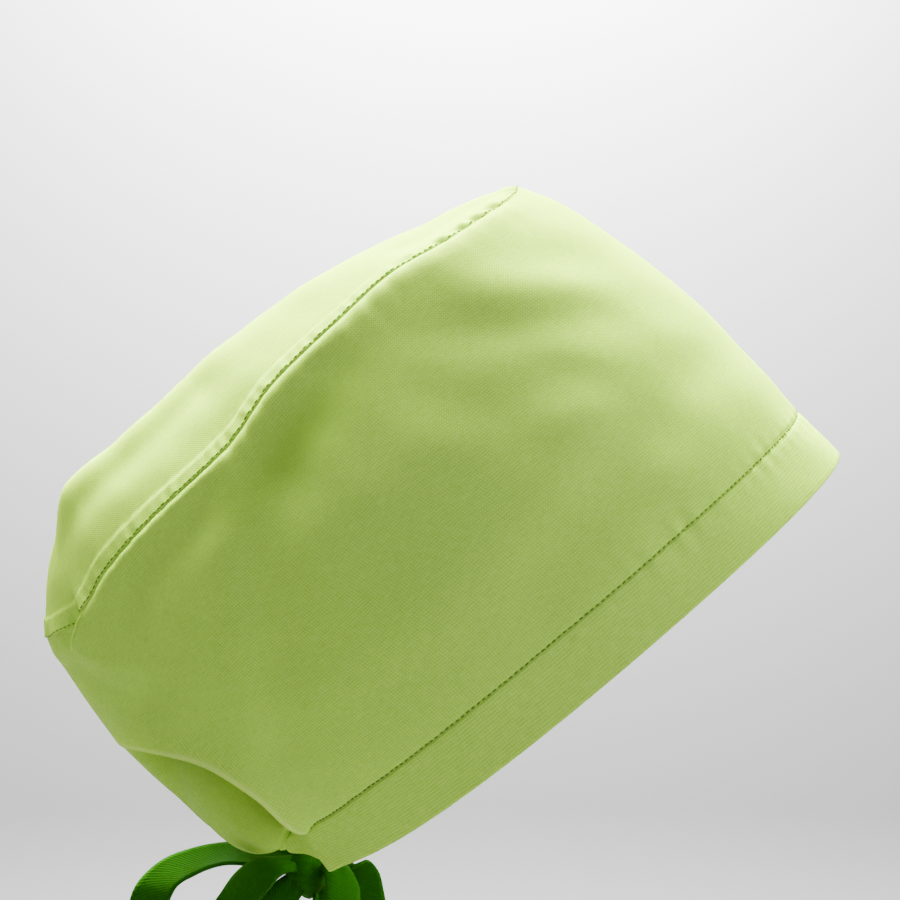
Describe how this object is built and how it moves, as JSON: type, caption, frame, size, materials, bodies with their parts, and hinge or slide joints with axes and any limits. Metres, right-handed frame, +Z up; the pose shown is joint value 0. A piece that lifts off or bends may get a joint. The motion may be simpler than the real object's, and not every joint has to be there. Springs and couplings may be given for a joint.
{
  "type": "scrub cap",
  "caption": "Soft brimless cloth cap with a long narrow crown panel, a deep wall and a turned hem, drawn in at the nape by a flat ribbon tied in a bow; it covers the hair in a clinical room.",
  "frame": {"origin": "middle of the head opening, in the plane of the lower edge of the hem, as the cap is worn", "axes": "+Z up and -Y forward, towards the forehead; -X the wearer's right. The head opening is tilted back by 36.8 degrees, forehead high and nape low, as in the picture."},
  "size_m": [0.1706, 0.2765, 0.3229],
  "materials": {
    "lime_cotton": "plain weave, matt",
    "lime_cotton_crown": "plain weave, matt",
    "green_ribbon": "ribbed flat ribbon, matt"
  },
  "bodies": {
    "root": {"wall_panel": "lime_cotton", "hem_band": "lime_cotton", "crown_panel": "lime_cotton_crown", "tie_knot": "green_ribbon", "tie_loop_rear": "green_ribbon", "tie_loop_side": "green_ribbon", "tie_tail_rear": "green_ribbon", "tie_tail_side": "green_ribbon"}
  },
  "joints": []
}
